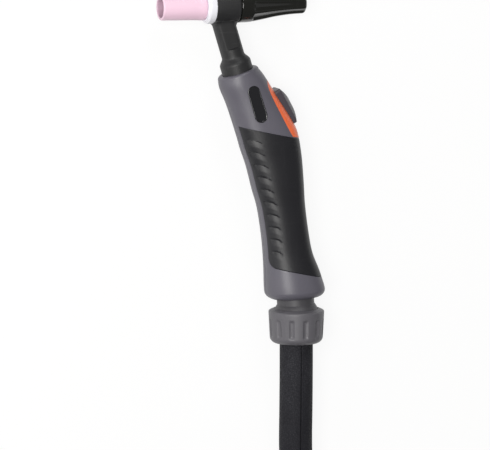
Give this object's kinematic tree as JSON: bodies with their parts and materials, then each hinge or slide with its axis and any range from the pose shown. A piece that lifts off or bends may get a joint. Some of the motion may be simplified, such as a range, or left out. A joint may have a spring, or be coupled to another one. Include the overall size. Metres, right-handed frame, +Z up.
{
  "type": "tig torch",
  "caption": "Air-cooled TIG welding torch with ceramic cup, long back cap, trigger handle on a ball joint, sleeved lead in a strapped hank and tails with connectors.",
  "frame": {"origin": "on the bench under the middle of the torch itself, without its lead", "axes": "+Y from the lead towards the head, +X towards the back cap, +Z up from the bench the torch lies on"},
  "size_m": [0.2144, 0.699, 0.058],
  "materials": {
    "alumina_pink": "fine fired surface",
    "ptfe_white": "satin",
    "brass": "machined",
    "copper": "drawn",
    "charcoal": "moulded satin",
    "cap_black": "polished",
    "badge_black": "polished",
    "seal_black": "smooth",
    "handle_grey": "fine moulded grain",
    "grip_black": "soft, matt",
    "switch_orange": "satin",
    "button_black": "fine moulded grain",
    "switch_black": "moulded",
    "steel": "zinc plated",
    "leather_black": "grained",
    "strap_black": "woven",
    "cable_black": "matt",
    "hose_blue": "satin",
    "nylon_white": "satin",
    "nut_grey": "fine moulded grain",
    "plug_black": "moulded"
  },
  "bodies": {
    "lead": {"ball_socket": "nylon_white", "collar_nut": "nut_grey", "sleeve_clamp": "steel", "cable_sleeve": "leather_black", "cable_hank": "leather_black", "hank_strap_right": "strap_black", "hank_strap_left": "strap_black", "end_boot": "plug_black", "power_lead": "cable_black", "power_plug_body": "plug_black", "power_plug_pin": "brass", "gas_hose": "hose_blue", "gas_ferrule": "steel", "gas_nipple": "brass", "control_lead": "cable_black", "control_plug_body": "plug_black", "control_plug_insert": "nylon_white"},
    "spigot": {"ball_spigot": "nut_grey"},
    "handle": {"cup": "alumina_pink", "cup_gasket": "ptfe_white", "collet_body": "brass", "collet": "copper", "head_core": "brass", "head_cover": "charcoal", "neck_tube": "copper", "handle_shell_left": "handle_grey", "handle_shell_right": "handle_grey", "rear_grip": "grip_black", "handle_screws": "steel", "badge_plate": "badge_black", "switch_housing": "switch_orange", "microswitch": "switch_black", "switch_cable": "cable_black", "power_ferrule": "brass", "power_hose": "cable_black"},
    "button": {"switch_button": "button_black"},
    "plunger": {"switch_plunger": "switch_orange"},
    "cap_carrier": {"cap_o_ring": "seal_black"},
    "cap": {"back_cap": "cap_black"},
    "gas_nut": {"gas_nut": "brass"},
    "plug_ring": {"control_plug_ring": "steel"}
  },
  "joints": [
    {"name": "handle_tilt", "type": "hinge", "parent": "lead", "child": "spigot", "pos_m": [0.03821, -0.10176, 0.0185], "axis": [0, 0, 1], "range_deg": [-16, 10]},
    {"name": "handle_twist", "type": "hinge", "parent": "spigot", "child": "handle", "pos_m": [0.03821, -0.10176, 0.0185], "axis": [-0.0523, 0.9986, 0], "range_deg": [-150, 150]},
    {"name": "button_press", "type": "slide", "parent": "handle", "child": "button", "axis": [-0.8771, -0.4802, 0], "range_m": [0, 0.0016], "stiffness_N_per_m": 900, "springref_m": -0.0015},
    {"name": "plunger_press", "type": "slide", "parent": "handle", "child": "plunger", "axis": [-0.8771, -0.4802, 0], "range_m": [0, 0.0016]},
    {"name": "cap_advance", "type": "slide", "parent": "handle", "child": "cap_carrier", "axis": [1, 0, 0], "range_m": [0, 0.00313]},
    {"name": "cap_turn", "type": "hinge", "parent": "cap_carrier", "child": "cap", "pos_m": [-0.00362, 0.10726, 0.0185], "axis": [1, 0, 0], "range_deg": [0, 900]},
    {"name": "gas_nut_spin", "type": "hinge", "parent": "lead", "child": "gas_nut", "pos_m": [-0.06179, -0.51526, 0.01022], "axis": [-1, 0, 0], "continuous": true},
    {"name": "plug_ring_turn", "type": "hinge", "parent": "lead", "child": "plug_ring", "pos_m": [-0.05329, -0.43926, 0.0093], "axis": [0, 1, 0], "range_deg": [0, 90]}
  ],
  "couplings": [
    {"joint": "plunger_press", "follows": "button_press", "ratio": 1},
    {"joint": "cap_turn", "follows": "cap_advance", "rad_per_m": 5026.5}
  ]
}
